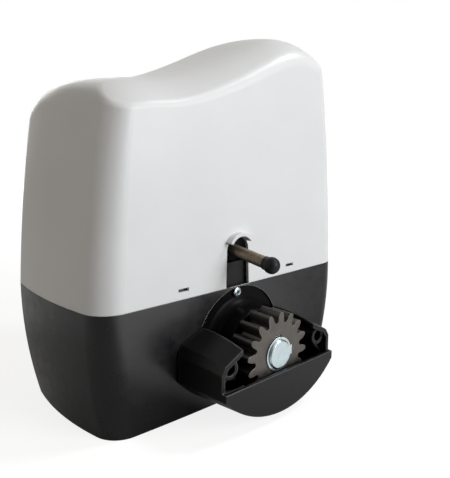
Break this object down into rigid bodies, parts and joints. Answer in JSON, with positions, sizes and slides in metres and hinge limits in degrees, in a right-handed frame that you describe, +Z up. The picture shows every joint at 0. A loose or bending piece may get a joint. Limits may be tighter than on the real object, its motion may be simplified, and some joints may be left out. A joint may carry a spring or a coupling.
{
  "type": "sliding gate motor",
  "caption": "Sliding gate motor: black base with rack pinion and guard, wave-topped pale cover, sprung limit lever, geared motor and control board inside.",
  "frame": {"origin": "centre of the four foot slots on the underside of the base", "axes": "+Z up, +X to the right seen from the pinion side, pinion towards -Y"},
  "size_m": [0.2965, 0.214, 0.3356],
  "materials": {
    "cover_shell": "satin pearly light grey moulded plastic",
    "black_shell": "black satin moulded plastic with a fine grain",
    "tower_plastic": "black moulded plastic",
    "gear_steel": "sintered steel, warm grey",
    "zinc": "zinc plated steel",
    "bright_steel": "ground steel",
    "spring_steel": "bronzed spring steel wire",
    "black_rubber": "soft black rubber",
    "cast_aluminium": "die-cast aluminium",
    "bronze": "bronze",
    "lamination": "stacked electrical steel",
    "copper_wire": "enamelled copper windings",
    "board_green": "printed circuit board",
    "relay_blue": "blue moulded relay case",
    "terminal_green": "green terminal plastic",
    "can_white": "off-white capacitor can",
    "coil_tape": "amber winding tape",
    "fuse_glass": "glass fuse",
    "tray_grey": "grey moulded plastic"
  },
  "bodies": {
    "base": {"base_housing": "black_shell", "gear_guard": "black_shell", "bearing_flange": "black_shell", "guard_screws": "zinc", "flange_screws": "zinc", "oil_seal": "black_rubber", "bearing_front": "bright_steel", "bearing_rear": "bright_steel", "lever_pin": "bright_steel", "limit_tower": "tower_plastic", "limit_switches": "tower_plastic", "gearbox_housing": "cast_aluminium", "bearing_worm": "bright_steel", "bearing_top": "bright_steel", "motor_flange": "cast_aluminium", "motor_end_shield": "cast_aluminium", "stator_core": "lamination", "stator_windings": "copper_wire", "electronics_tray": "tray_grey", "transformer_core": "lamination", "transformer_coil": "coil_tape", "capacitor": "can_white", "capacitor_clip": "bright_steel", "control_board": "board_green", "relays": "relay_blue", "terminal_blocks": "terminal_green", "fuse": "fuse_glass", "release_pocket": "tower_plastic", "release_pin": "bright_steel", "cable_grommet": "black_rubber", "levelling_screws": "zinc", "levelling_nuts": "zinc"},
    "cover": {"cover": "cover_shell"},
    "output": {"pinion": "gear_steel", "output_shaft": "zinc", "shaft_key": "bright_steel", "retaining_ring": "zinc", "pinion_spacer": "bright_steel", "worm_wheel": "bronze"},
    "motor_rotor": {"motor_shaft": "bright_steel"},
    "limit_lever": {"lever_hub": "tower_plastic", "limit_spring": "spring_steel", "lever_tip": "black_rubber"},
    "release": {"release_lever": "tower_plastic"},
    "release_key": {"release_lock": "zinc"}
  },
  "joints": [
    {"name": "pinion_spin", "type": "hinge", "parent": "base", "child": "output", "pos_m": [0, -0.1156, 0.056], "axis": [0, 1, 0], "continuous": true},
    {"name": "motor_spin", "type": "hinge", "parent": "base", "child": "motor_rotor", "pos_m": [0.052, -0.008, 0.15], "axis": [0, 0, 1], "continuous": true},
    {"name": "limit_lever_swing", "type": "hinge", "parent": "base", "child": "limit_lever", "pos_m": [-0.003, -0.052, 0.141], "axis": [0, 0, 1], "range_deg": [-12, 12], "stiffness_Nm_per_rad": 0.6},
    {"name": "cover_lift", "type": "slide", "parent": "base", "child": "cover", "axis": [0, 0, 1], "range_m": [0, 0.2]},
    {"name": "release_swing", "type": "hinge", "parent": "base", "child": "release", "pos_m": [0.072, 0.0725, 0.056], "axis": [0, 0, -1], "range_deg": [0, 90]},
    {"name": "release_key_turn", "type": "hinge", "parent": "release", "child": "release_key", "pos_m": [-0.005, 0.0725, 0.056], "axis": [0, 1, 0], "range_deg": [0, 90]}
  ],
  "couplings": [
    {"joint": "motor_spin", "follows": "pinion_spin", "ratio": 24}
  ]
}
